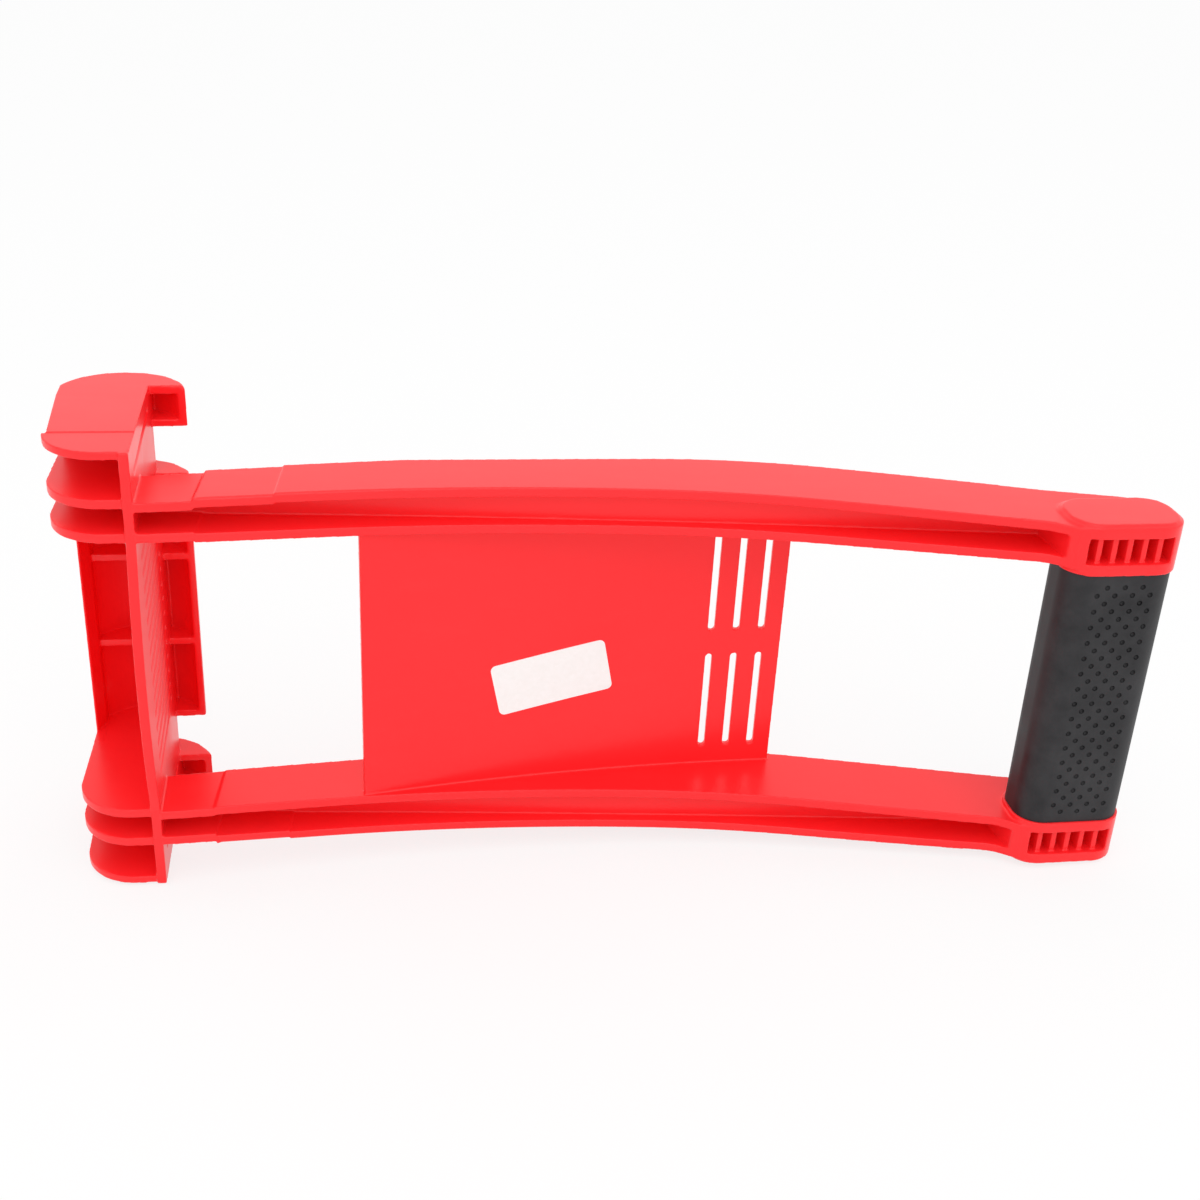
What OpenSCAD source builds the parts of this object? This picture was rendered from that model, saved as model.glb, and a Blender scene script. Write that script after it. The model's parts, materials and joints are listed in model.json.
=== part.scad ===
/* [Arms] */
// Distance from the seat to the crown of the arm bow
bow_x = 163; // [140:1:190]
// Set-back of the front rim at the crown
bow_y = 16.7; // [10:0.1:22]
// Bow radius on the head side
bow_r_head = 700; // [500:10:1000]
// Bow radius on the handle side
bow_r_grip = 400; // [300:10:700]
// Slope of the straight run at the head in degrees
slope_head = 9.1; // [7:0.1:11]
// Slope of the straight run at the handle in degrees
slope_grip = 8.2; // [6:0.1:10]
// Distance from the seat to the crown of the arm's back edge
back_x = 183; // [165:1:195]
// Set-back of the back edge at its crown
back_y = 44.6; // [42:0.1:50]
// Bow radius of the back edge
back_r = 250; // [150:10:400]
// Slope of the back edge on the head side in degrees
back_head = 4.6; // [2:0.1:7]
// Slope of the back edge on the handle side in degrees
back_grip = 9; // [7:0.1:10]
// Depth of an arm where it leaves the seat
back_seat = 22.8; // [20:0.1:30]
// Slope of the back edge beside the seat in degrees
back_rise = 10.2; // [8:0.1:14]
// Rounding of the back edge where it ends at the handle
tail_r = 8; // [4:0.5:18]
// Width across one arm at its ends
arm_w = 13.7; // [12:0.1:18]
// Extra width of an arm at its widest place
arm_crown = 2.4; // [0:0.1:5]
// Extra width of an arm at the seat
arm_head = 1.7; // [0:0.1:2.4]
// Extra width of an arm at the handle
arm_tail = 0.6; // [0:0.1:1.2]
// Distance from the seat to the widest place of an arm
crown_x = 150; // [130:1:180]
// Distance from the seat to the step in the arms at the mould split
split_x = 17.5; // [12:0.5:24]
// Height of the step at the mould split
split_t = 0.9; // [0:0.1:1.2]
// Distance from the seat to a second step in the outer faces
insert_x = 42; // [30:0.5:60]
// Height of the second step
insert_t = 0.5; // [0:0.1:1]
// Length of either step along the arm
split_ramp = 0.3; // [0.1:0.1:1]
// Length of the flare where the front rims run into the handle
flare_l = 6; // [4:0.5:16]
// Set-back of the rims behind the handle's front face where they meet
rim_set = 0.3; // [0.1:0.1:1]
// Thickness of the arm flanges
flange_t = 3.2; // [2:0.1:4]
// Depth of the front channel at the crown
web_set = 3.8; // [2:0.1:6]
// Share of the rims' bow that the web follows
web_follow = 0.2; // [0:0.05:0.6]
// Thickness of the web between the flanges
web_t = 3; // [2:0.1:5]
// Distance from the end of the handle section to the joint with the arms
joint_lap = 3.3; // [2:0.1:5]
// Slant of the wall that closes the channel at the handle in degrees
end_slant = 13; // [4:1:25]
// Rounding of that wall at the front
end_r = 3; // [1:0.1:5]

/* [Seat] */
// Tilt of the seat wall against the arms in degrees
seat_tilt = 5.7; // [0:0.1:9]
// Full width of the head
head_w = 161; // [150:0.5:180]
// Thickness of the seat wall
seat_t = 3.2; // [2.4:0.1:5]
// Forward bulge of the seat wall between the arms
seat_bulge = 6; // [2:0.5:9]
// Depth of the seat wall behind the lip face
seat_over = 4.3; // [2:0.1:6]
// Distance between neighbouring grooves of the seat
groove_pitch = 5.8; // [4.5:0.1:9]
// Radius of the groove section
groove_r = 1.5; // [1:0.1:2]
// Depth of the grooves
groove_depth = 0.7; // [0.2:0.1:0.8]
// Slant of the grooves in degrees
groove_slant = 5; // [0:0.5:10]
// Smooth strip in front of the grooves
groove_start = 9; // [6:0.5:14]
// Smooth strip between the grooves and the lip
groove_rest = 6; // [4:0.5:12]

/* [Hook] */
// Distance from the seat's front edge to the front face of the lip
lip_y = 60.2; // [54:0.2:68]
// Width of the outer lips
lip_w = 11.6; // [8:0.1:16]
// Reach of the outer lips beyond the seat
lip_reach = 12; // [8:0.5:12]
// Reach of the middle lip beyond the seat
lip_middle = 11; // [8:0.5:12]
// Outer radius of the curved back shell
hook_r = 21.5; // [21:0.1:24]
// Distance from the seat face back to the shell's centre line
hook_back = 9.3; // [8:0.1:10.5]
// Distance from the shell's centre line forward to the lip face
hook_drop = 7.4; // [5:0.1:9]
// Straight run at the back of the shell
hook_flat = 1.2; // [0:0.1:3]
// Thickness of the back shell
shell_t = 3; // [2:0.1:4]
// Height of the tray's side wall in front of the lip plane
tray_wall = 14; // [8:0.5:20]
// Reach of the back shell behind the seat face
shell_reach = 27.5; // [25:0.1:28]
// Reach of the end fins behind the seat face
fin_reach = 28.3; // [25:0.1:29]
// Reach of the end fins at the back of the hook
fin_back = 28.8; // [28:0.1:30]
// Step in the end fins at the mould parting line
fin_step = 1.6; // [0:0.1:4]
// Height of that step on the outer faces
part_t = 0.3; // [0.1:0.1:0.6]
// Distance from the seat's front edge to the front of the fins
fin_front = 1; // [0.5:0.1:3]
// Corner radius of the fins
fin_r = 19; // [14:0.5:22]
// Distance from the seat's front edge to the parting step
fin_part = 18; // [14:0.5:24]
// Set-out of the outer fins from the arm width
fin_out = 1.1; // [0:0.1:2]
// Thickness of the end fins
end_t = 3; // [2:0.1:4]
// Rounding of the outer lips' corners
tip_r = 2; // [0.5:0.1:2.5]
// Clearance beside each arm in the lip
notch_in = 1; // [0.5:0.1:3]
// Clearance outside each arm in the lip
notch_out = 2.5; // [1:0.1:5]
// Rim around the lip pockets
lip_rim = 2.5; // [1.6:0.1:3.5]
// Position of the tray ribs from the middle
rib_z = 17; // [12:0.5:24]
// Thickness of the tray ribs
rib_t = 2.6; // [2:0.1:4]

/* [Panel] */
// Distance from the seat to the panel
panel_x = 68; // [60:1:80]
// Length of the panel along its curve
panel_l = 147.6; // [130:0.2:160]
// Radius of the panel's curve
panel_r = 800; // [600:10:1200]
// Slope of the panel at its head end in degrees
panel_slope = 16; // [12:0.1:18]
// Set-back of the panel behind the front rims at its head end
panel_set = 1; // [0.5:0.1:4]
// Thickness of the panel
panel_t = 2.5; // [2:0.1:4]
// Width of a slot
slot_w = 2.4; // [1.6:0.1:4]
// Distance from a slot's end to the arm
slot_end = 7.1; // [5:0.1:12]
// Half width of the bridge between the slot rows
slot_bridge = 4.6; // [3:0.1:7]
// Distance between neighbouring slots
slot_pitch = 9; // [7:0.1:11]
// Distance from the panel's end to the nearest slot
slot_edge = 7.3; // [5:0.1:12]
// Slots in each row
slot_n = 3; // [2:1:4]

/* [Handle] */
// Distance from the seat to the handle bosses
boss_x = 294; // [280:0.2:310]
// Length of the handle section
boss_l = 39.6; // [38:0.2:46]
// Depth of the handle section
boss_d = 24.5; // [22:0.5:30]
// Step of the handle's front face before the arms' front rims
boss_step = 4.55; // [3:0.05:6]
// Corner radius of the handle section
boss_r = 10; // [8:0.5:10.5]
// Thickness of the boss wall on the grip side of the arm
boss_lap = 1.8; // [1:0.1:4]
// Height of a boss beyond the arm
boss_rise = 1.5; // [1.3:0.1:4]
// Height of the oval pad on a boss
pad_t = 0.8; // [0.4:0.1:1.5]
// Inset of the oval pad from the boss edge
pad_inset = 1.2; // [0.6:0.1:4]
// Cored slots in each boss
core_n = 6; // [4:1:7]
// Distance between neighbouring cored slots
core_pitch = 5.15; // [4.8:0.05:5.4]
// Width of a cored slot
core_w = 3.2; // [2.8:0.1:4]
// Depth of the cored slots
core_d = 9; // [6:0.5:20]
// Set-back of the ribs between the cored slots
core_set = 1.8; // [0.4:0.1:2.5]
// Wall left above and below the cored slots
core_wall = 4; // [3:0.1:5]
// Inset of the grip from the boss outline
grip_inset = 0.8; // [0.3:0.1:1.5]
// Thickness of the rubber grip
grip_t = 3.5; // [2:0.1:5]

/* [Hidden] */
$fn = 96;
big_fn = 720;
big = 500;
split_n = 5;
bow_n = 48;
flare_n = 16;
seat_half = head_w / 2;
wall_half = seat_half - end_t;
arm_out = wall_half - lip_w - notch_out;
arm_in = arm_out - arm_w;
slot_l = arm_in - slot_bridge - slot_end;
grip_half = arm_in - boss_lap;
tail_out = arm_out + arm_tail;
boss_out = arm_out + boss_rise;
pad_out = boss_out + pad_t;
handle_a = boss_l / 2 - boss_r;
handle_b = boss_d / 2 - boss_r;
bow_x0 = bow_x - bow_r_head * sin(slope_head);
bow_x1 = bow_x + bow_r_grip * sin(slope_grip);
bow_y0 = bow_y - bow_r_head * (1 - cos(slope_head));
bow_y1 = bow_y - bow_r_grip * (1 - cos(slope_grip));
handle_c = [boss_x + boss_l / 2, arm_line(boss_x) - boss_step + boss_d / 2];
boss_end = handle_c[0] + handle_a * cos(seat_tilt) + handle_b * sin(seat_tilt) + boss_r;
boss_tip = handle_c[1] - handle_a * sin(seat_tilt) - handle_b * cos(seat_tilt) - boss_r;
arm_start = -hook_r;
arm_end = boss_end - tail_r;
back_x0 = back_x - back_r * sin(back_head);
back_x1 = back_x + back_r * sin(back_grip);
back_y0 = back_y - back_r * (1 - cos(back_head));
back_y1 = back_y - back_r * (1 - cos(back_grip));
tail_y = arm_back(arm_end - tail_r) - tail_r;
flare_x = boss_x - flare_l;
joint_x = boss_x + joint_lap;
stations = concat(
    [for (i = [0:split_n]) arm_start + (split_x - arm_start) * i / split_n],
    [for (i = [0:split_n]) split_x + split_ramp + (insert_x - split_x - split_ramp) * i / split_n],
    [for (i = [0:bow_n]) insert_x + split_ramp + (flare_x - insert_x - split_ramp) * i / bow_n],
    [for (i = [1:flare_n]) flare_x + (arm_end - flare_x) * i / flare_n]
);
hook_c = [-hook_back, lip_y - hook_drop];
seat_d = lip_y + seat_over;
tray_y = lip_y - tray_wall;
side_in = shell_reach - shell_t;
bulge_r = (arm_in * arm_in + seat_bulge * seat_bulge) / (2 * seat_bulge);
notch_0 = arm_in - notch_in;
notch_1 = arm_out + notch_out;
corner_y = hook_c[1] + sqrt(hook_r * hook_r - (fin_back - hook_back) * (fin_back - hook_back));
tip_x = (lip_reach - tip_r) * cos(seat_tilt) - lip_y * sin(seat_tilt);
pad_end = boss_end - pad_inset;
lean = atan((seat_half - pad_out) / (pad_end - tip_x));
row_x0 = (-fin_back * cos(seat_tilt) - corner_y * sin(seat_tilt)) * cos(lean) - seat_half * sin(lean);
row_x1 = boss_end * cos(lean) + boss_out * sin(lean);
row_y0 = min(-seat_bulge * cos(seat_tilt), boss_tip);
row_y1 = (hook_c[0] + hook_flat) * sin(seat_tilt) + hook_c[1] * cos(seat_tilt) + hook_r;
row_z0 = -seat_half * cos(lean) - tip_x * sin(lean);
panel_y = arm_front(panel_x) + panel_set;
panel_sweep = panel_l / panel_r * 180 / PI;
panel_c = [panel_x + panel_r * sin(panel_slope), panel_y - panel_r * cos(panel_slope)];
panel_end = panel_c[0] - panel_r * sin(panel_slope - panel_sweep);
core_z0 = grip_half + core_wall;
core_z1 = boss_out - core_wall;
core_l = (core_n - 1) * core_pitch + core_w;
groove_n = floor((arm_in - groove_pitch) / groove_pitch);

// bowed line of the arms' front rims at the distance x from the seat
function arm_line(x) =
    x < bow_x0 ? bow_y0 - (bow_x0 - x) * tan(slope_head) :
    x < bow_x ? bow_y - bow_r_head + sqrt(bow_r_head * bow_r_head - (x - bow_x) * (x - bow_x)) :
    x < bow_x1 ? bow_y - bow_r_grip + sqrt(bow_r_grip * bow_r_grip - (x - bow_x) * (x - bow_x)) :
    bow_y1 - (x - bow_x1) * tan(slope_grip);

// back edge of an arm at the distance x from the seat
function arm_back(x) = min(back_seat + x * tan(back_rise),
    x < back_x0 ? back_y0 - (back_x0 - x) * tan(back_head) :
    x < back_x1 ? back_y - back_r + sqrt(back_r * back_r - (x - back_x) * (x - back_x)) :
    back_y1 - (x - back_x1) * tan(back_grip));

// front face of the web, flatter than the rims
function web_front(x) = bow_y + web_set - web_follow * (bow_y - arm_line(x));

// smooth rise from 0 at x0 to 1 at x1
function ease(x, x0, x1) =
    let (t = max(0, min(1, (x - x0) / (x1 - x0))))
    t * t * (3 - 2 * t);

// front plane of the handle section, square to the seat
function handle_face(x) =
    handle_c[1] + (x - handle_c[0]) * tan(seat_tilt) - boss_d / 2 / cos(seat_tilt);

// front rim of an arm, drawn forward to the handle
function arm_front(x) =
    arm_line(x) + (handle_face(x) + rim_set - arm_line(x)) * ease(x, flare_x, boss_x + boss_r);

// outer face of an arm, crowned along its length and stepped in towards the seat
function arm_outer(x) =
    let (
        half = x < crown_x ? crown_x : boss_x - crown_x,
        ends = x < crown_x ? arm_head : arm_tail,
        fall = min(1, abs(x - crown_x) / half)
    )
    arm_out + arm_crown - (arm_crown - ends) * fall * fall
        - (x > split_x ? 0 : split_t) - (x > insert_x ? 0 : insert_t);

// inner face of an arm
function arm_inner(x) = arm_in + (x > split_x ? 0 : split_t / 2);

// places a local shape in the row frame, leaning on its lower edge
module in_row() {
    translate([-(row_x0 + row_x1) / 2, -(row_y0 + row_y1) / 2, -row_z0])
        rotate([0, lean, 0])
            children();
}

// turns the head's own frame into the frame of the arms
module in_head() {
    rotate([0, 0, seat_tilt])
        children();
}

// extrudes a head outline across the width from z0 to z1
module across(z0, z1) {
    translate([0, 0, z0])
        linear_extrude(z1 - z0)
            children();
}

module red() {
    color("#e2151b")
        children();
}

module lower() {
    mirror([0, 0, 1])
        children();
}

// outline along the arm between two lines
function band(near, far) = concat(
    [for (x = stations) [x, near(x)]],
    [for (i = [len(stations) - 1:-1:0]) [stations[i], far(stations[i])]]
);

// outline of an arm between its front rims and back edges, rounded at the handle
module arm_plan() {
    intersection() {
        polygon(band(function (x) arm_front(x), function (x) arm_back(x)));
        union() {
            translate([arm_start, -big])
                square([arm_end - tail_r - arm_start, 2 * big]);
            translate([arm_start, -big])
                square([arm_end - arm_start, big + tail_y]);
            translate([arm_end - tail_r, tail_y])
                circle(tail_r);
        }
    }
}

// outline of the web with the wall that closes the channel at the handle
module web_plan() {
    polygon(band(function (x) web_front(x), function (x) web_front(x) + web_t));
    intersection() {
        arm_plan();
        translate([joint_x - big, -big])
            square([big, big + web_front(joint_x) + web_t / 2]);
        translate([joint_x, arm_front(joint_x) + rim_set + end_r]) {
            circle(end_r);
            rotate(end_slant)
                translate([-end_r, 0])
                    square(big);
        }
    }
}

// side elevation of an arm between two heights
module arm_side(low, high) {
    rotate([90, 0, 0])
        translate([0, 0, -big])
            linear_extrude(2 * big)
                polygon(band(low, high));
}

// rounded outline of the handle section, square to the seat, drawn in by a given amount
module handle_plan(inset) {
    r = boss_r - inset;
    translate(handle_c)
        rotate(seat_tilt) {
            square([2 * (handle_a + r), 2 * handle_b], center = true);
            square([2 * handle_a, 2 * (handle_b + r)], center = true);
            for (x = [-handle_a, handle_a], y = [-handle_b, handle_b])
                translate([x, y])
                    circle(r);
        }
}

// trims an arm member to the seat face and to the joint with the handle
module arm_trim() {
    intersection() {
        children();
        in_head()
            translate([0, -big, -big])
                cube(2 * big);
        translate([joint_x - 2 * big, -big, -big])
            cube(2 * big);
    }
}

// outline of a boss, which takes up the end of the arm
module boss_plan() {
    intersection() {
        union() {
            handle_plan(0);
            arm_plan();
        }
        translate([joint_x, -big])
            square(2 * big);
    }
}

module outer_flange() {
    arm_trim()
        intersection() {
            across(0, big)
                arm_plan();
            arm_side(function (x) arm_outer(x) - flange_t, function (x) arm_outer(x));
        }
}

module inner_flange() {
    arm_trim()
        intersection() {
            across(0, big)
                arm_plan();
            arm_side(function (x) arm_inner(x), function (x) arm_inner(x) + flange_t);
        }
}

module web() {
    arm_trim()
        intersection() {
            across(0, big)
                web_plan();
            arm_side(function (x) arm_inner(x) + flange_t, function (x) arm_outer(x) - flange_t);
        }
}

// curved plate between the arms, with two rows of slots
module slotted_panel_solid() {
    difference() {
        across(-arm_in, arm_in)
            translate(panel_c)
                intersection() {
                    difference() {
                        circle(panel_r + panel_t, $fn = big_fn);
                        circle(panel_r, $fn = big_fn);
                    }
                    polygon([
                        [0, 0],
                        2 * panel_r * [-sin(panel_slope), cos(panel_slope)],
                        2 * panel_r * [sin(panel_sweep - panel_slope), cos(panel_sweep - panel_slope)]
                    ]);
                }
        for (i = [0:slot_n - 1], side = [-1, 1])
            translate([panel_end - slot_edge - i * slot_pitch, 0, side * (slot_bridge + slot_l / 2)])
                panel_slot();
    }
}

module panel_slot() {
    straight = slot_l - slot_w;
    translate([-slot_w / 2, -big, -straight / 2])
        cube([slot_w, 2 * big, straight]);
    for (z = [-straight / 2, straight / 2])
        translate([0, 0, z])
            rotate([90, 0, 0])
                cylinder(d = slot_w, h = 2 * big, center = true);
}

// wall that the board stands on, grooved between and outside the arms
module seat_wall_solid() {
    groove_l = seat_d - groove_start - groove_rest - seat_over;
    in_head()
        difference() {
            union() {
                translate([-seat_t, 0, -wall_half])
                    cube([seat_t, seat_d, 2 * wall_half]);
                translate([-seat_t, 0, 0])
                    rotate([90, 0, 90])
                        linear_extrude(seat_t)
                            intersection() {
                                translate([bulge_r - seat_bulge, 0])
                                    circle(bulge_r, $fn = big_fn);
                                translate([-2 * seat_bulge, -wall_half])
                                    square([2 * seat_bulge + seat_t, 2 * wall_half]);
                            }
            }
            for (z = [-groove_n:groove_n])
                groove(z * groove_pitch, groove_l);
            for (side = [-1, 1])
                groove(side * (arm_out + wall_half) / 2, groove_l);
        }
}

module groove(z, l) {
    translate([groove_r - groove_depth, groove_start, z])
        rotate([-90 + groove_slant, 0, 0])
            cylinder(r = groove_r, h = l);
}

// round back of the hook, drawn in by a given amount
module hook_round(inset) {
    r = hook_r - inset;
    for (x = [0, hook_flat])
        translate([hook_c[0] + x, hook_c[1]])
            circle(r);
    translate([hook_c[0], hook_c[1] - r])
        square([hook_flat, 2 * r]);
}

// head outline left of the limit x1, with rounded front corner and parting step
module head_plan(x1, reach, back, step) {
    intersection() {
        union() {
            hook_round(0);
            translate([-big, 0])
                square([big + x1, hook_c[1]]);
        }
        union() {
            intersection() {
                union() {
                    translate([fin_r - reach, fin_front + fin_r])
                        circle(fin_r);
                    translate([fin_r - reach, fin_front])
                        square([big, fin_part]);
                }
                translate([-reach, 0])
                    square([reach + x1, fin_part]);
            }
            polygon([
                [step - reach, fin_part],
                [-back, hook_c[1]],
                [-back, big],
                [x1, big],
                [x1, fin_part]
            ]);
        }
    }
}

// section of the curved back shell and the low side wall of the tray
module shell_plan() {
    intersection() {
        head_plan(-seat_t, shell_reach, shell_reach, 0);
        union() {
            difference() {
                translate([-shell_reach, hook_c[1]])
                    square([shell_reach - seat_t, big]);
                hook_round(shell_t);
            }
            translate([-shell_reach, tray_y])
                square([shell_t, big]);
        }
    }
}

module hook_shell_solid() {
    in_head()
        across(-wall_half, wall_half)
            shell_plan();
}

// section of the lip from its front face to the back of the shell
module lip_plan(reach, rim) {
    intersection() {
        hook_round(rim);
        union() {
            translate([0, lip_y])
                square([reach - rim, big]);
            translate([-seat_t, seat_d])
                square([seat_t + reach - rim, big]);
        }
    }
}

// lip segment from z0 to z1 with pockets that open to the front
module lip(z0, z1, reach, pockets) {
    in_head()
        difference() {
            across(z0, z1)
                lip_plan(reach, 0);
            for (p = pockets)
                across(p[0], p[1])
                    intersection() {
                        lip_plan(reach, lip_rim);
                        square(big);
                    }
        }
}

module outer_lip() {
    lip(notch_1, wall_half, lip_reach, [[notch_1 + lip_rim, wall_half]]);
}

module middle_lip_solid() {
    lip(-notch_0, notch_0, lip_middle, [
        [-notch_0 + lip_rim, -rib_z - rib_t / 2],
        [-rib_z + rib_t / 2, rib_z - rib_t / 2],
        [rib_z + rib_t / 2, notch_0 - lip_rim]
    ]);
}

module tray_rib() {
    in_head()
        across(rib_z - rib_t / 2, rib_z + rib_t / 2)
            difference() {
                intersection() {
                    head_plan(-seat_t, shell_reach, shell_reach, 0);
                    translate([-side_in, lip_y])
                        square([side_in - seat_t, big]);
                }
                shell_plan();
            }
}

module end_fin() {
    in_head()
        difference() {
            across(wall_half, seat_half) {
                head_plan(0, fin_reach, fin_back, fin_step);
                lip_plan(lip_reach, 0);
                translate([-seat_t, 0])
                    square([seat_t, seat_d]);
            }
            translate([-big, -big, seat_half - part_t])
                cube([2 * big, big + fin_part, big]);
            tip_corner();
        }
}

// corner cut away to round the end of a lip
module tip_corner() {
    translate([lip_reach - tip_r, 0, seat_half - tip_r])
        rotate([-90, 0, 0])
            linear_extrude(big)
                difference() {
                    translate([0, -2 * tip_r])
                        square(2 * tip_r);
                    circle(tip_r);
                }
}

module fin(z0) {
    in_head()
        across(z0, z0 + flange_t)
            difference() {
                head_plan(-seat_t, fin_reach, shell_reach, 0);
                shell_plan();
            }
}

module arm_fins() {
    fin(arm_in);
    fin(arm_out + fin_out - flange_t);
}

// end block of the handle with cored slots, an oval step on either side and a raised pad
module boss() {
    difference() {
        union() {
            across(arm_in, tail_out)
                boss_plan();
            across(grip_half, arm_in)
                handle_plan(0);
            across(tail_out, boss_out)
                handle_plan(0);
            across(boss_out, pad_out)
                handle_plan(pad_inset);
        }
        translate([handle_c[0], handle_c[1], core_z0])
            rotate([0, 0, seat_tilt]) {
                core(0, core_l, core_set);
                for (i = [0:core_n - 1])
                    core((i - (core_n - 1) / 2) * core_pitch, core_w, core_d);
            }
    }
}

// pocket of width w and depth d that opens to the front of a boss
module core(x, w, d) {
    translate([x - w / 2, -boss_d, 0])
        cube([w, boss_d / 2 + d, core_z1 - core_z0]);
}

module handle_bar_solid() {
    across(-grip_half, grip_half)
        handle_plan(grip_inset + grip_t);
}

module grip_solid() {
    across(-grip_half, grip_half)
        difference() {
            handle_plan(grip_inset);
            handle_plan(grip_inset + grip_t);
        }
}

module upper_outer_flange() in_row() red() outer_flange();
module upper_inner_flange() in_row() red() inner_flange();
module upper_web() in_row() red() web();
module lower_outer_flange() in_row() red() lower() outer_flange();
module lower_inner_flange() in_row() red() lower() inner_flange();
module lower_web() in_row() red() lower() web();
module slotted_panel() in_row() red() slotted_panel_solid();
module seat_wall() in_row() red() seat_wall_solid();
module hook_shell() in_row() red() hook_shell_solid();
module upper_lip() in_row() red() outer_lip();
module middle_lip() in_row() red() middle_lip_solid();
module lower_lip() in_row() red() lower() outer_lip();
module tray_ribs() in_row() red() { tray_rib(); lower() tray_rib(); }
module upper_end_fin() in_row() red() end_fin();
module lower_end_fin() in_row() red() lower() end_fin();
module upper_fins() in_row() red() arm_fins();
module lower_fins() in_row() red() lower() arm_fins();
module upper_boss() in_row() red() boss();
module lower_boss() in_row() red() lower() boss();
module handle_bar() in_row() red() handle_bar_solid();
module grip() in_row() color("#2b2a2c") grip_solid();

upper_outer_flange();
upper_inner_flange();
upper_web();
lower_outer_flange();
lower_inner_flange();
lower_web();
slotted_panel();
seat_wall();
hook_shell();
upper_lip();
middle_lip();
lower_lip();
tray_ribs();
upper_end_fin();
lower_end_fin();
upper_fins();
lower_fins();
upper_boss();
lower_boss();
handle_bar();
grip();
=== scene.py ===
import json
import math

import bmesh
import bpy
import numpy
from mathutils import Matrix, Vector
from mathutils.bvhtree import BVHTree

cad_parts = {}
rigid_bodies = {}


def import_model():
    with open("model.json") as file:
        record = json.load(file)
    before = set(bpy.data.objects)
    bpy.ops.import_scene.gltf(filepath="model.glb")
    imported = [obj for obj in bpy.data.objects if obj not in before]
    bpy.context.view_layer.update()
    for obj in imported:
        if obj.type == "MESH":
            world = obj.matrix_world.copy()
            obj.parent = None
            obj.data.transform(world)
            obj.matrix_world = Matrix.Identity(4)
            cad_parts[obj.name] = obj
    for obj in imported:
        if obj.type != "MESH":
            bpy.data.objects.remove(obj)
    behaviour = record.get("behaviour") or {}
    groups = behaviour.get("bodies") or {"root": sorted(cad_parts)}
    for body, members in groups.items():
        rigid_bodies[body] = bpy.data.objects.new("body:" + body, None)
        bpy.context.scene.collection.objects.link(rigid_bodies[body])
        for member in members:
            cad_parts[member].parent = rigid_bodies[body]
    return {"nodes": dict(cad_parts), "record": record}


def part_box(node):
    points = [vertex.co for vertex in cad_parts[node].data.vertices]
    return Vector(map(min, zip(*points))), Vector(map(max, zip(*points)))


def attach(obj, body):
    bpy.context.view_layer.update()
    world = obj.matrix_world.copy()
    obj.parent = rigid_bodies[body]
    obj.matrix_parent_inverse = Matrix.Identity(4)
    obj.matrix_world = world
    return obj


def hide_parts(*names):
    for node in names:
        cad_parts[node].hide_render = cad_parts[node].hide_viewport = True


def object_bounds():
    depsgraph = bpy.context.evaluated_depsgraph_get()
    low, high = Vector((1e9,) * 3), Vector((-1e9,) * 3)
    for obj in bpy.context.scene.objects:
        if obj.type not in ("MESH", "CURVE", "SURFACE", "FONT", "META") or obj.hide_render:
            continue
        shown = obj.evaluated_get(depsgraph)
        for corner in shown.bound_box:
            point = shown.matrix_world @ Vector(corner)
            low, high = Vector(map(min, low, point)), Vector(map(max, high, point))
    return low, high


for startThing in list(bpy.data.objects):
    bpy.data.objects.remove(startThing)

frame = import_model()
cadLow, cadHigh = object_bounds()
nodes = frame["nodes"]
mounts = {m["name"]: m for m in frame["record"]["mounts"]}
scene = bpy.context.scene
mm = 0.001
mergeReach = 0.002 * mm  # loose corners of a node's copy this near each other become one
print("frame loaded:", len(nodes), "nodes")


def linear(hexText):
    parts = [int(hexText[i:i + 2], 16) / 255 for i in (1, 3, 5)]
    return [c / 12.92 if c <= 0.04045 else ((c + 0.055) / 1.055) ** 2.4 for c in parts] + [1.0]


def perMm(size):
    return 1 / (size * mm)  # texture scale for a pattern of that size in millimetres


def addNode(tree, kind, settings=None, inputs=None):
    made = tree.nodes.new(kind)
    for name, value in (settings or {}).items():
        setattr(made, name, value)
    for name, value in (inputs or {}).items():
        if isinstance(value, bpy.types.NodeSocket):
            tree.links.new(value, made.inputs[name])
        else:
            made.inputs[name].default_value = value
    return made


def newMaterial(name):
    material = bpy.data.materials.new(name)
    material.use_nodes = True
    material.node_tree.nodes.clear()
    return material, material.node_tree


def newObject(name, data):
    thing = bpy.data.objects.new(name, data)
    scene.collection.objects.link(thing)
    return thing


def fromWork(name, work):
    mesh = bpy.data.meshes.new(name)
    work.to_mesh(mesh)
    work.free()
    return newObject(name, mesh)


def bake(thing):
    seen = thing.evaluated_get(bpy.context.evaluated_depsgraph_get())
    mesh = bpy.data.meshes.new_from_object(seen)
    thing.modifiers.clear()
    thing.data = mesh
    return mesh


def closedCopy(nodeName):
    mesh = nodes[nodeName].data.copy()
    work = bmesh.new()
    work.from_mesh(mesh)
    bmesh.ops.remove_doubles(work, verts=work.verts, dist=mergeReach)
    work.to_mesh(mesh)
    work.free()
    return newObject("copy_" + nodeName, mesh)


# The fine grain that a mould leaves, drawn coarser than the real one so that it shows
def mouldGrain(tree, place, finish):
    grain = addNode(tree, "ShaderNodeTexNoise", inputs={
        "Vector": place, "Scale": perMm(finish["grainSize"]), "Detail": finish["grainDetail"]})
    return addNode(tree, "ShaderNodeBump", inputs={
        "Strength": finish["grainStrength"], "Distance": finish["grainHeight"] * mm,
        "Height": grain.outputs["Fac"]}).outputs["Normal"]


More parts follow.
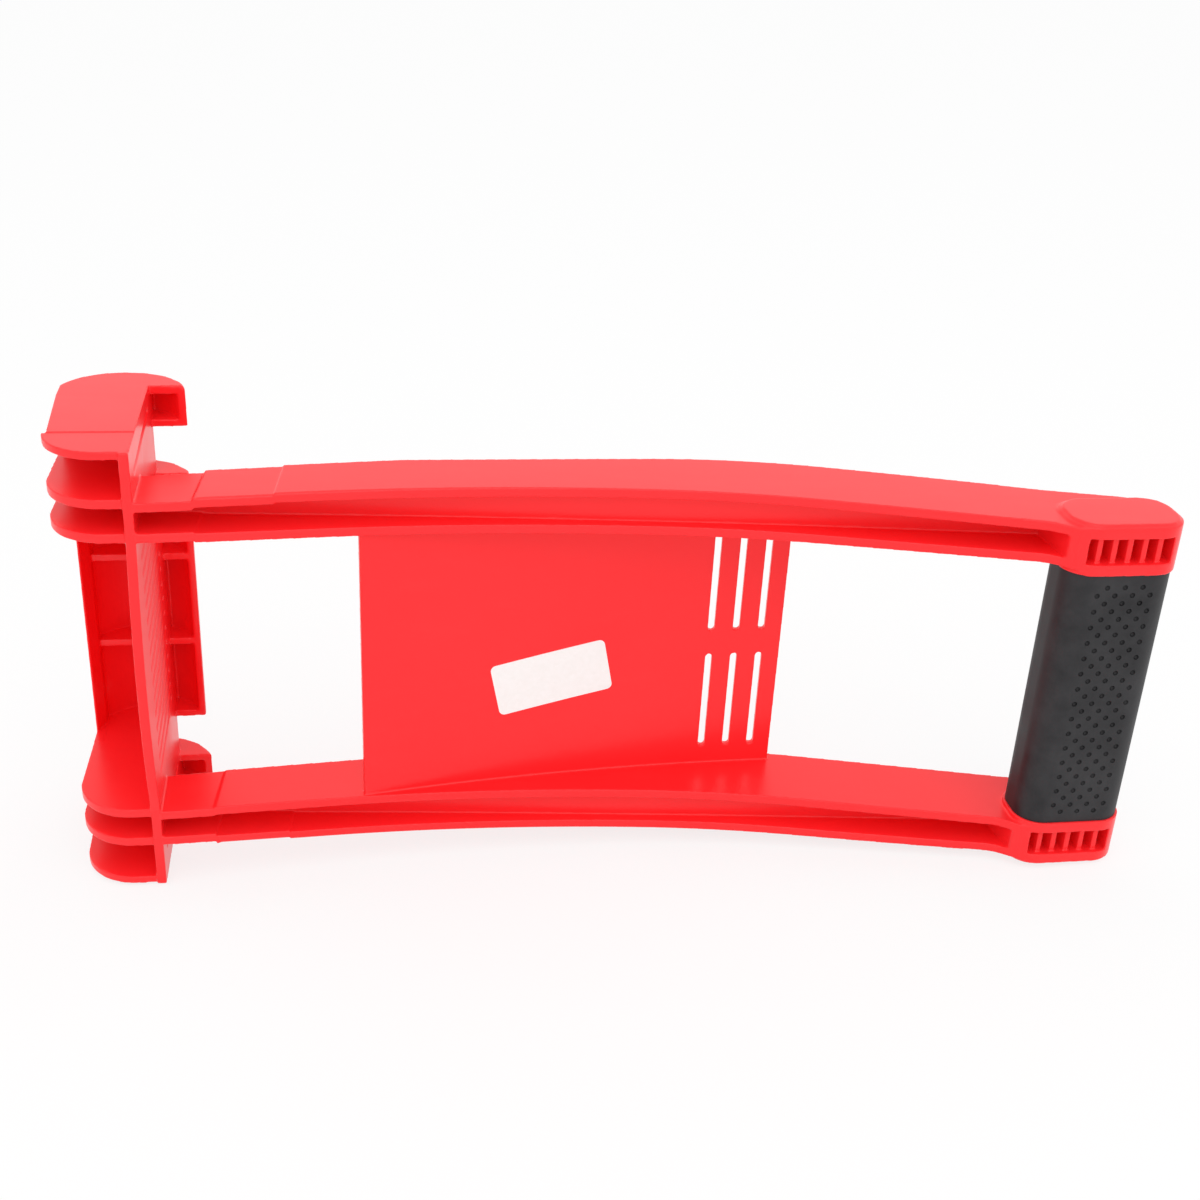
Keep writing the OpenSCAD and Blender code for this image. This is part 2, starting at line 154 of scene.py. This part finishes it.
# Polypropylene, injection moulded: even satin red, faint flow marks, a fine spark-eroded grain
redPlastic = {
    "red": "#FC2026", "flowRed": "#FE272C", "flowSize": 55, "flowDetail": 3, "flowBend": 0.6,
    "scuff": "#FC5455", "scuffSize": 7, "scuffDraw": (0.25, 1, 1), "scuffDetail": 5, "scuffBreak": 0.65,
    "scuffRange": (0.52, 0.8), "scuffMost": 0.04,
    "roughness": (0.28, 0.32), "roughRange": (0.3, 0.7), "seatRoughness": 0.45, "ior": 1.41,
    "grainSize": 0.9, "grainDetail": 2, "grainStrength": 0.4, "grainHeight": 0.008,
}


def redPolypropylene():
    material, tree = newMaterial("polypropyleneRed")
    place = addNode(tree, "ShaderNodeTexCoord").outputs["Object"]
    flow = addNode(tree, "ShaderNodeTexNoise", inputs={
        "Vector": place, "Scale": perMm(redPlastic["flowSize"]),
        "Detail": redPlastic["flowDetail"], "Distortion": redPlastic["flowBend"]})
    flowMix = addNode(tree, "ShaderNodeMix", {"data_type": "RGBA"}, {
        0: flow.outputs["Fac"], 6: linear(redPlastic["red"]), 7: linear(redPlastic["flowRed"])})
    drawn = addNode(tree, "ShaderNodeMapping", inputs={"Vector": place, "Scale": redPlastic["scuffDraw"]})
    scuff = addNode(tree, "ShaderNodeTexNoise", inputs={
        "Vector": drawn.outputs["Vector"], "Scale": perMm(redPlastic["scuffSize"]),
        "Detail": redPlastic["scuffDetail"], "Roughness": redPlastic["scuffBreak"]})
    start, full = redPlastic["scuffRange"]
    scuffAmount = addNode(tree, "ShaderNodeMapRange", inputs={
        "Value": scuff.outputs["Fac"], "From Min": start, "From Max": full,
        "To Min": 0.0, "To Max": redPlastic["scuffMost"]})
    colour = addNode(tree, "ShaderNodeMix", {"data_type": "RGBA"}, {
        0: scuffAmount.outputs["Result"], 6: flowMix.outputs[2], 7: linear(redPlastic["scuff"])})
    start, full = redPlastic["roughRange"]
    low, high = redPlastic["roughness"]
    rough = addNode(tree, "ShaderNodeMapRange", inputs={
        "Value": scuff.outputs["Fac"], "From Min": start, "From Max": full, "To Min": low, "To Max": high})
    seat = addNode(tree, "ShaderNodeAttribute", {"attribute_name": "seatGrain"})
    dull = addNode(tree, "ShaderNodeMix", {"data_type": "FLOAT"}, {
        0: seat.outputs["Fac"], 2: rough.outputs["Result"], 3: redPlastic["seatRoughness"]})
    shader = addNode(tree, "ShaderNodeBsdfPrincipled", inputs={
        "Base Color": colour.outputs[2], "Roughness": dull.outputs[0],
        "IOR": redPlastic["ior"], "Normal": mouldGrain(tree, place, redPlastic)})
    addNode(tree, "ShaderNodeOutputMaterial", inputs={"Surface": shader.outputs["BSDF"]})
    return material


# Thermoplastic rubber, moulded over the bar: dull black with a dusty bloom
blackRubber = {
    "black": "#19181B", "bloom": "#343335",
    "bloomSize": 14, "bloomDetail": 6, "bloomBreak": 0.65, "bloomRange": (0.34, 0.72),
    "roughness": (0.44, 0.62), "roughRange": (0.3, 0.7), "ior": 1.42,
    "grainSize": 0.6, "grainDetail": 3, "grainStrength": 0.5, "grainHeight": 0.02,
}


def rubberBlack():
    material, tree = newMaterial("thermoplasticRubberBlack")
    place = addNode(tree, "ShaderNodeTexCoord").outputs["Object"]
    bloom = addNode(tree, "ShaderNodeTexNoise", inputs={
        "Vector": place, "Scale": perMm(blackRubber["bloomSize"]),
        "Detail": blackRubber["bloomDetail"], "Roughness": blackRubber["bloomBreak"]})
    start, full = blackRubber["bloomRange"]
    bloomAmount = addNode(tree, "ShaderNodeMapRange", inputs={
        "Value": bloom.outputs["Fac"], "From Min": start, "From Max": full})
    colour = addNode(tree, "ShaderNodeMix", {"data_type": "RGBA"}, {
        0: bloomAmount.outputs["Result"], 6: linear(blackRubber["black"]), 7: linear(blackRubber["bloom"])})
    start, full = blackRubber["roughRange"]
    low, high = blackRubber["roughness"]
    rough = addNode(tree, "ShaderNodeMapRange", inputs={
        "Value": bloom.outputs["Fac"], "From Min": start, "From Max": full, "To Min": low, "To Max": high})
    shader = addNode(tree, "ShaderNodeBsdfPrincipled", inputs={
        "Base Color": colour.outputs[2], "Roughness": rough.outputs["Result"],
        "IOR": blackRubber["ior"], "Normal": mouldGrain(tree, place, blackRubber)})
    addNode(tree, "ShaderNodeOutputMaterial", inputs={"Surface": shader.outputs["BSDF"]})
    return material


# Coated label paper: clean white with a trace of fibre
labelPaper = {
    "white": "#FAF9F8", "fibre": "#F1EFEC", "fibreSize": 1.6, "fibreDetail": 5,
    "roughness": 0.42, "ior": 1.47,
}


def paperWhite():
    material, tree = newMaterial("coatedPaperWhite")
    place = addNode(tree, "ShaderNodeTexCoord").outputs["Object"]
    fibre = addNode(tree, "ShaderNodeTexNoise", inputs={
        "Vector": place, "Scale": perMm(labelPaper["fibreSize"]), "Detail": labelPaper["fibreDetail"]})
    colour = addNode(tree, "ShaderNodeMix", {"data_type": "RGBA"}, {
        0: fibre.outputs["Fac"], 6: linear(labelPaper["white"]), 7: linear(labelPaper["fibre"])})
    shader = addNode(tree, "ShaderNodeBsdfPrincipled", inputs={
        "Base Color": colour.outputs[2], "Roughness": labelPaper["roughness"], "IOR": labelPaper["ior"]})
    addNode(tree, "ShaderNodeOutputMaterial", inputs={"Surface": shader.outputs["BSDF"]})
    return material


plastic = redPolypropylene()
rubber = rubberBlack()
paper = paperWhite()
print("materials made")

# The directions of the handle: across its width, out to the front, and up along the bar
handleAcross = Vector(mounts["board_seat"]["axis"])
handleFront = Vector(mounts["lip_face"]["axis"])
handleUp = handleFront.cross(handleAcross)
gripLow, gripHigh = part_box("grip")
gripCentre = (gripLow + gripHigh) / 2

# The front corner of the seat, half way up, from which places on the moulding are given in millimetres:
# out from the seat's face, deep along it to the back, height from the middle, and along the arms
seatBack = 57 * mm  # from that corner back to the seat's mount
seatCorner = Vector(mounts["board_seat"]["pos_m"]) + seatBack * handleFront

# The red moulding: every red member joined, then its edges and inner corners rounded as the mould rounds them
moulding = {
    "voxel": 0.3, "quickVoxel": 0.8, "smoothing": 0.5, "rounding": 5, "softRounding": 16,
    "triangles": 196000, "evenWeight": 90,
    "shoulder": 1.3, "shoulderSpan": (18, 19, 120, 290), "shoulderShare": (0, 1, 0.6, 0), "station": 0.02,
    "fillReach": 20,
    "trayCuts": (  # corners as out and deep
        ((-28.2, 45), (-24.2, 45), (-24.2, 53), (-28.2, 53)),
        ((-26.9, 52.8), (-24.2, 52.8), (-24.2, 60)),
    ),
    "trayHalf": 49.6,
    "seatSkin": (-1.2, 0.8), "seatSpan": (40, 48), "seatRise": (43, 47),
    "softPlaces": (
        {"along": (280, math.inf), "height": (62, math.inf)},  # pads of the handle
        {"out": (7, 20), "deep": (55, math.inf)},  # tips of the lips
        {"out": (-0.5, 4), "deep": (-math.inf, 32), "height": (46, 70)},  # roots of the arms
        {"out": (-7, 1), "deep": (-math.inf, 3), "height": (76, math.inf)},  # corners of the seat wall
    ),
    "redNodes": [name for name in sorted(nodes) if name != "grip"],
}
armDepth = Vector((0, 1, 0))
armAxes = (armDepth.cross(handleUp), armDepth, handleUp)
seatAxes = (handleAcross, -handleFront, handleUp)


def placesAlong(mesh, axes):
    flat = numpy.empty(3 * len(mesh.vertices))
    mesh.vertices.foreach_get("co", flat)
    return flat.reshape(-1, 3) @ numpy.array(axes).T


def placesFromSeat(mesh, axes):
    return ((placesAlong(mesh, axes) - numpy.array([seatCorner.dot(axis) for axis in axes])) / mm).T


# Rounds the outer front edge of one arm to the shoulder radius, from the step near the seat to the handle
def roundShoulder(body, nodeName, side):
    edge = placesAlong(nodes[nodeName].data, armAxes)
    stations = numpy.unique(numpy.round(edge[:, 0], 5))
    slices = [edge[numpy.abs(edge[:, 0] - x) < moulding["station"] * mm] for x in stations]
    front = numpy.array([piece[:, 1].min() for piece in slices])
    outer = numpy.array([(side * piece[:, 2]).max() for piece in slices])
    places = placesAlong(body.data, armAxes)
    along = places[:, 0]
    inFront = places[:, 1] - numpy.interp(along, stations, front)
    inOuter = numpy.interp(along, stations, outer) - side * places[:, 2]
    fromSeat = (along - seatCorner.dot(armAxes[0])) / mm
    share = numpy.interp(fromSeat, moulding["shoulderSpan"], moulding["shoulderShare"])
    radius = moulding["shoulder"] * mm * share
    offFront, offOuter = radius - inFront, radius - inOuter
    far = numpy.hypot(offFront, offOuter)
    hit = (offFront > 0) & (offOuter > 0) & (far > radius) & (radius > 0)
    pull = numpy.zeros(len(far))
    pull[hit] = 1 - radius[hit] / far[hit]
    places[:, 1] += pull * offFront
    places[:, 2] -= side * pull * offOuter
    body.data.vertices.foreach_set("co", (places @ numpy.array(armAxes)).ravel())
    print(nodeName, "shoulder rounded:", int(hit.sum()), "points")


# The grooved face of the seat is duller than the rest
def markSeat(body):
    out, deep, height = placesFromSeat(body.data, seatAxes)
    low, high = moulding["seatSkin"]
    amount = numpy.interp(deep, moulding["seatSpan"], (1, 0))
    amount *= numpy.interp(numpy.abs(height), moulding["seatRise"], (1, 0))
    amount *= (out > low) & (out < high)
    body.data.attributes.new("seatGrain", "FLOAT", "POINT").data.foreach_set("value", amount)


# The points that get the larger rounding
def softPoints(body):
    out, deep, height = placesFromSeat(body.data, seatAxes)
    along = placesFromSeat(body.data, armAxes)[0]
    seen = {"out": out, "deep": deep, "height": numpy.abs(height), "along": along}
    soft = numpy.zeros(len(out), dtype=bool)
    for limits in moulding["softPlaces"]:
        inside = [(seen[name] > low) & (seen[name] < high) for name, (low, high) in limits.items()]
        soft |= numpy.logical_and.reduce(inside)
    return numpy.flatnonzero(soft).tolist()


def hull(name, places):
    work = bmesh.new()
    for place in places:
        work.verts.new(place)
    bmesh.ops.convex_hull(work, input=work.verts)
    bmesh.ops.delete(work, geom=[v for v in work.verts if not v.link_faces], context="VERTS")
    bmesh.ops.recalc_face_normals(work, faces=work.faces)
    return fromWork(name, work)


# The lower end fin has a plain outline: its parting step is filled out to the straight edge
def finFill():
    mesh = nodes["lower_end_fin"].data
    across = placesAlong(mesh, armAxes)[:, 0]
    near = numpy.flatnonzero(across < across.min() + moulding["fillReach"] * mm)
    return hull("finFill", [mesh.vertices[index].co for index in near])


# The side wall of the tray is low and slim at its front edge
def trayCut(outline):
    half = moulding["trayHalf"]
    return hull("trayCut", [
        seatCorner + mm * (out * handleAcross - deep * handleFront + height * handleUp)
        for out, deep in outline for height in (-half, half)])


def joinMembers():
    body = closedCopy(moulding["redNodes"][0])
    body.name = body.data.name = "plasticMoulding"
    members = [("UNION", closedCopy(nodeName)) for nodeName in moulding["redNodes"][1:]]
    members.append(("UNION", finFill()))
    members += [("DIFFERENCE", trayCut(outline)) for outline in moulding["trayCuts"]]
    for operation, member in members:
        join = body.modifiers.new("join", "BOOLEAN")
        join.operation = operation
        join.solver = "MANIFOLD"
        join.object = member
        bake(body)
        bpy.data.objects.remove(member)
    print("moulding joined:", len(body.data.polygons), "faces")
    return body


def makeMoulding():
    body = joinMembers()
    skin = body.modifiers.new("skin", "REMESH")
    skin.mode = "VOXEL"
    skinSize = moulding["voxel"] * mm
    skin.voxel_size = skinSize
    bake(body)
    roundShoulder(body, "upper_outer_flange", 1)
    roundShoulder(body, "lower_outer_flange", -1)
    body.vertex_groups.new(name="soft").add(softPoints(body), 1.0, "REPLACE")
    steps = (moulding["voxel"] * mm / skinSize) ** 2  # a coarser skin needs fewer turns for the same rounding
    for group, turns in (("", moulding["rounding"]), ("soft", moulding["softRounding"])):
        soften = body.modifiers.new("soften", "SMOOTH")
        soften.factor = moulding["smoothing"]
        soften.iterations = max(1, round(turns * steps))
        soften.vertex_group = group
    thin = body.modifiers.new("thin", "DECIMATE")
    thin.ratio = min(1, moulding["triangles"] / (2 * len(body.data.polygons)))
    bake(body)
    body.vertex_groups.clear()
    body.data.shade_smooth()
    markSeat(body)
    even = body.modifiers.new("even", "WEIGHTED_NORMAL")
    even.weight = moulding["evenWeight"]
    bake(body)
    body.data.materials.clear()
    body.data.materials.append(plastic)
    print("moulding rounded:", len(body.data.polygons), "faces")
    return body


mouldingPiece = makeMoulding()
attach(mouldingPiece, "root")
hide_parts(*moulding["redNodes"])

# The rubber grip: a rounded sleeve with staggered rows of dimples on both wide faces
grip = {
    "cornerRadius": 9.2, "innerRadius": 5.7, "cornerSteps": 24, "boreOver": 1.05, "sharpAngle": 35,
    "dimpleWidth": 1.9, "dimpleDepth": 1.0, "dimpleSides": 12, "dimpleRings": 8,
    "spacing": 6.12, "rowPitch": 2.9, "shortRows": 16, "shortColumns": 3, "fieldShift": 0.7,
}


def reach(nodeName, direction):
    return max((v.co - gripCentre).dot(direction) for v in nodes[nodeName].data.vertices)


def sleeve(tree, inputs, width, depth, radius, length):
    outline = addNode(tree, "GeometryNodeCurvePrimitiveQuadrilateral", {"mode": "RECTANGLE"}, {
        "Width": inputs[width], "Height": inputs[depth]})
    rounded = addNode(tree, "GeometryNodeFilletCurve", {"mode": "POLY"}, {
        "Curve": outline.outputs["Curve"], "Radius": inputs[radius], "Count": inputs["Corner Steps"]})
    half = addNode(tree, "ShaderNodeMath", {"operation": "MULTIPLY"}, {0: inputs[length], 1: 0.5})
    minus = addNode(tree, "ShaderNodeMath", {"operation": "MULTIPLY"}, {0: half.outputs[0], 1: -1.0})
    start = addNode(tree, "ShaderNodeCombineXYZ", inputs={"Z": minus.outputs[0]})
    end = addNode(tree, "ShaderNodeCombineXYZ", inputs={"Z": half.outputs[0]})
    path = addNode(tree, "GeometryNodeCurvePrimitiveLine", inputs={
        "Start": start.outputs[0], "End": end.outputs[0]})
    return addNode(tree, "GeometryNodeCurveToMesh", inputs={
        "Curve": path.outputs["Curve"], "Profile Curve": rounded.outputs["Curve"],
        "Fill Caps": True}).outputs["Mesh"]


# Every second row; the long rows have one dimple more and lie between the short ones
def dimpleRows(tree, inputs, longer):
    columns = grip["shortColumns"] + longer
    rows = addNode(tree, "ShaderNodeMath", {"operation": "SUBTRACT"}, {
        0: inputs["Short Rows"], 1: float(longer)})
    gaps = addNode(tree, "ShaderNodeMath", {"operation": "SUBTRACT"}, {0: rows.outputs[0], 1: 1.0})
    pitch = addNode(tree, "ShaderNodeMath", {"operation": "MULTIPLY"}, {0: inputs["Row Pitch"], 1: 2.0})
    tall = addNode(tree, "ShaderNodeMath", {"operation": "MULTIPLY"}, {
        0: gaps.outputs[0], 1: pitch.outputs[0]})
    wide = addNode(tree, "ShaderNodeMath", {"operation": "MULTIPLY"}, {
        0: inputs["Spacing"], 1: columns - 1.0})
    return addNode(tree, "GeometryNodeMeshGrid", inputs={
        "Size X": wide.outputs[0], "Size Y": tall.outputs[0],
        "Vertices X": columns, "Vertices Y": rows.outputs[0]}).outputs["Mesh"]


def gripTree():
    tree = bpy.data.node_groups.new("rubberGripSleeve", "GeometryNodeTree")
    sizes = ["Width", "Depth", "Radius", "Length",
             "Inner Width", "Inner Depth", "Inner Radius", "Inner Length",
             "Dimple Radius", "Dimple Centre", "Spacing", "Row Pitch", "Field Shift"]
    for name in sizes:
        tree.interface.new_socket(name, in_out="INPUT", socket_type="NodeSocketFloat")
    for name in ["Corner Steps", "Short Rows"]:
        tree.interface.new_socket(name, in_out="INPUT", socket_type="NodeSocketInt")
    tree.interface.new_socket("Finish", in_out="INPUT", socket_type="NodeSocketMaterial")
    tree.interface.new_socket("Geometry", in_out="OUTPUT", socket_type="NodeSocketGeometry")
    inputs = addNode(tree, "NodeGroupInput").outputs
    outer = sleeve(tree, inputs, "Width", "Depth", "Radius", "Length")
    inner = sleeve(tree, inputs, "Inner Width", "Inner Depth", "Inner Radius", "Inner Length")
    field = addNode(tree, "GeometryNodeJoinGeometry", inputs={"Geometry": dimpleRows(tree, inputs, 0)})
    tree.links.new(dimpleRows(tree, inputs, 1), field.inputs["Geometry"])
    ball = addNode(tree, "GeometryNodeMeshUVSphere", inputs={
        "Segments": grip["dimpleSides"], "Rings": grip["dimpleRings"], "Radius": inputs["Dimple Radius"]})
    dents = addNode(tree, "GeometryNodeInstanceOnPoints", inputs={
        "Points": field.outputs["Geometry"], "Instance": ball.outputs["Mesh"]})
    cuts = addNode(tree, "GeometryNodeJoinGeometry", inputs={"Geometry": inner})
    for side in (1.0, -1.0):
        stand = addNode(tree, "ShaderNodeMath", {"operation": "MULTIPLY"}, {
            0: inputs["Dimple Centre"], 1: side})
        spot = addNode(tree, "ShaderNodeCombineXYZ", inputs={
            "X": inputs["Field Shift"], "Y": stand.outputs[0]})
        turned = addNode(tree, "GeometryNodeTransform", inputs={
            "Geometry": dents.outputs["Instances"], "Translation": spot.outputs[0],
            "Rotation": (math.pi / 2, 0, 0)})
        real = addNode(tree, "GeometryNodeRealizeInstances", inputs={"Geometry": turned.outputs["Geometry"]})
        tree.links.new(real.outputs["Geometry"], cuts.inputs["Geometry"])
    cut = addNode(tree, "GeometryNodeMeshBoolean", {"operation": "DIFFERENCE", "solver": "MANIFOLD"}, {
        "Mesh 1": outer, "Mesh 2": cuts.outputs["Geometry"]})
    whole = addNode(tree, "GeometryNodeRealizeInstances", inputs={"Geometry": cut.outputs["Mesh"]})
    done = addNode(tree, "GeometryNodeSetMaterial", inputs={
        "Geometry": whole.outputs["Geometry"], "Material": inputs["Finish"]})
    addNode(tree, "NodeGroupOutput", inputs={"Geometry": done.outputs["Geometry"]})
    return tree


def makeGrip():
    thing = newObject("rubberGrip", bpy.data.meshes.new("rubberGrip"))
    shape = thing.modifiers.new("sleeve", "NODES")
    shape.node_group = gripTree()
    dimpleHalf = grip["dimpleWidth"] / 2
    ballRadius = (dimpleHalf ** 2 + grip["dimpleDepth"] ** 2) / (2 * grip["dimpleDepth"])
    depth = reach("grip", handleFront)
    length = 2 * reach("grip", handleUp)
    values = {
        "Width": 2 * reach("grip", handleAcross), "Depth": 2 * depth, "Radius": grip["cornerRadius"] * mm,
        "Length": length,
        "Inner Width": 2 * reach("handle_bar", handleAcross),
        "Inner Depth": 2 * reach("handle_bar", handleFront),
        "Inner Radius": grip["innerRadius"] * mm, "Inner Length": grip["boreOver"] * length,
        "Dimple Radius": ballRadius * mm, "Dimple Centre": depth + (ballRadius - grip["dimpleDepth"]) * mm,
        "Spacing": grip["spacing"] * mm, "Row Pitch": grip["rowPitch"] * mm,
        "Field Shift": grip["fieldShift"] * mm,
        "Corner Steps": grip["cornerSteps"], "Short Rows": grip["shortRows"], "Finish": rubber,
    }
    for item in shape.node_group.interface.items_tree:
        if item.in_out == "INPUT":
            shape[item.identifier] = values[item.name]
    mesh = bake(thing)
    turn = Matrix(seatAxes).transposed()
    mesh.transform(Matrix.Translation(gripCentre) @ turn.to_4x4())
    mesh.shade_smooth()
    mesh.set_sharp_from_angle(angle=math.radians(grip["sharpAngle"]))
    print("grip made:", len(mesh.polygons), "faces")
    return thing


gripPiece = makeGrip()
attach(gripPiece, "root")
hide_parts("grip")

# The blank paper label on the front of the panel
label = {
    "size": (40, 20), "corner": 2, "cornerSteps": 8, "thickness": 0.12,
    "centre": (-17.6, 64.7), "tilt": 8.6, "cell": 1.0, "sharpAngle": 40,
}


def labelOutline(halfWide, halfTall):
    radius, steps = label["corner"], label["cornerSteps"]
    outline = []
    for quarter, (signX, signZ) in enumerate([(1, 1), (-1, 1), (-1, -1), (1, -1)]):
        for step in range(steps + 1):
            angle = math.pi / 2 * (quarter + step / steps)
            outline.append((signX * (halfWide - radius) + radius * math.cos(angle),
                            signZ * (halfTall - radius) + radius * math.sin(angle)))
    return outline


def makeLabel():
    panelTree = BVHTree.FromObject(mouldingPiece, bpy.context.evaluated_depsgraph_get())
    halfWide, halfTall = label["size"][0] / 2, label["size"][1] / 2
    work = bmesh.new()
    work.faces.new([work.verts.new((x, 0, z)) for x, z in labelOutline(halfWide, halfTall)])
    for axis, half in ((0, halfWide), (2, halfTall)):
        for i in range(1, int(2 * half / label["cell"])):
            cutAt, normal = Vector(), Vector()
            cutAt[axis] = i * label["cell"] - half
            normal[axis] = 1
            everything = list(work.verts) + list(work.edges) + list(work.faces)
            bmesh.ops.bisect_plane(work, geom=everything, plane_co=cutAt, plane_no=normal)
    tilt = Matrix.Rotation(-math.radians(label["tilt"]), 3, "Y")
    for vert in work.verts:
        flat = tilt @ vert.co
        x, z = (flat.x + label["centre"][0]) * mm, (flat.z + label["centre"][1]) * mm
        start = Vector((x, cadLow.y - 1, z))  # well in front of the part
        spot, normal, _, _ = panelTree.ray_cast(start, Vector((0, 1, 0)))
        vert.co = spot + normal * 0.5 * label["thickness"] * mm
    bmesh.ops.recalc_face_normals(work, faces=work.faces)
    thing = fromWork("blankLabel", work)
    sheet = thing.modifiers.new("sheet", "SOLIDIFY")
    sheet.thickness = label["thickness"] * mm
    sheet.offset = 0
    bake(thing)
    thing.data.materials.append(paper)
    thing.data.shade_smooth()
    thing.data.set_sharp_from_angle(angle=math.radians(label["sharpAngle"]))
    print("label made:", len(thing.data.polygons), "faces")
    return thing


labelPiece = makeLabel()
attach(labelPiece, "root")


# 1 where the eye meets a surface straight, in a reflection or through glass, and 0 for the light it gives
def seenByEye(tree):
    rays = addNode(tree, "ShaderNodeLightPath").outputs
    direct = addNode(tree, "ShaderNodeMath", {"operation": "MAXIMUM"}, {
        0: rays["Is Camera Ray"], 1: rays["Is Glossy Ray"]})
    return addNode(tree, "ShaderNodeMath", {"operation": "MAXIMUM"}, {
        0: direct.outputs[0], 1: rays["Is Transmission Ray"]}).outputs[0]


# Pale floor that stays near white to the eye and keeps a soft shadow
floor = {"colour": "#F4F4F4", "white": "#FFFFFF", "halfWidth": 3.0, "glow": 0.8}


def makeFloor():
    w = floor["halfWidth"]
    mesh = bpy.data.meshes.new("studioFloor")
    mesh.from_pydata([(-w, -w, 0), (w, -w, 0), (w, w, 0), (-w, w, 0)], [], [(0, 1, 2, 3)])
    thing = newObject("studioFloor", mesh)
    material, tree = newMaterial("floorPaintWhite")
    amount = addNode(tree, "ShaderNodeMath", {"operation": "MULTIPLY"}, {
        0: seenByEye(tree), 1: floor["glow"]})
    matte = addNode(tree, "ShaderNodeBsdfDiffuse", inputs={"Color": linear(floor["colour"])})
    glow = addNode(tree, "ShaderNodeEmission", inputs={"Color": linear(floor["white"]), "Strength": 1.0})
    both = addNode(tree, "ShaderNodeMixShader", inputs={
        0: amount.outputs[0], 1: matte.outputs["BSDF"], 2: glow.outputs["Emission"]})
    addNode(tree, "ShaderNodeOutputMaterial", inputs={"Surface": both.outputs["Shader"]})
    mesh.materials.append(material)


# Soft studio light: an even white room and one wide lamp above the front
studio = {
    "white": "#FFFFFF", "room": 0.97,
    "lampPower": 5.0, "lampSize": 1.2, "lampPlace": (0.1, -0.7, 1.3), "lampAim": (0.0, 0.0, 0.08),
}


def makeLight():
    world = bpy.data.worlds.new("studioRoom")
    scene.world = world
    world.use_nodes = True
    tree = world.node_tree
    tree.nodes.clear()
    strength = addNode(tree, "ShaderNodeMapRange", inputs={
        "Value": seenByEye(tree), "To Min": studio["room"], "To Max": 1.0})
    glow = addNode(tree, "ShaderNodeBackground", inputs={
        "Color": linear(studio["white"]), "Strength": strength.outputs["Result"]})
    addNode(tree, "ShaderNodeOutputWorld", inputs={"Surface": glow.outputs["Background"]})
    lamp = bpy.data.lights.new("overheadSoftbox", "AREA")
    lamp.shape = "SQUARE"
    lamp.size = studio["lampSize"]
    lamp.energy = studio["lampPower"]
    thing = newObject("overheadSoftbox", lamp)
    thing.location = studio["lampPlace"]
    aim = Vector(studio["lampAim"]) - Vector(studio["lampPlace"])
    thing.rotation_euler = aim.to_track_quat("-Z", "Y").to_euler()


# The camera stands where the photograph was taken: place in millimetres, angles in degrees
camera = {
    "place": (-23.65, -493.5, 341.9), "turn": 2.675, "drop": 26.93, "roll": 0.164,
    "lens": 48.22, "sensor": 36, "clip": (0.01, 20),
}


def makeCamera():
    data = bpy.data.cameras.new("studioCamera")
    data.lens = camera["lens"]
    data.sensor_width = camera["sensor"]
    data.clip_start, data.clip_end = camera["clip"]
    thing = newObject("studioCamera", data)
    place = Matrix.Translation(Vector(camera["place"]) * mm)
    turn = Matrix.Rotation(-math.radians(camera["turn"]), 4, "Z")
    drop = Matrix.Rotation(math.radians(90 - camera["drop"]), 4, "X")
    roll = Matrix.Rotation(math.radians(camera["roll"]), 4, "Z")
    thing.matrix_world = place @ turn @ drop @ roll
    scene.camera = thing


makeFloor()
makeLight()
makeCamera()
scene.view_settings.view_transform = "Standard"
print("stage set")
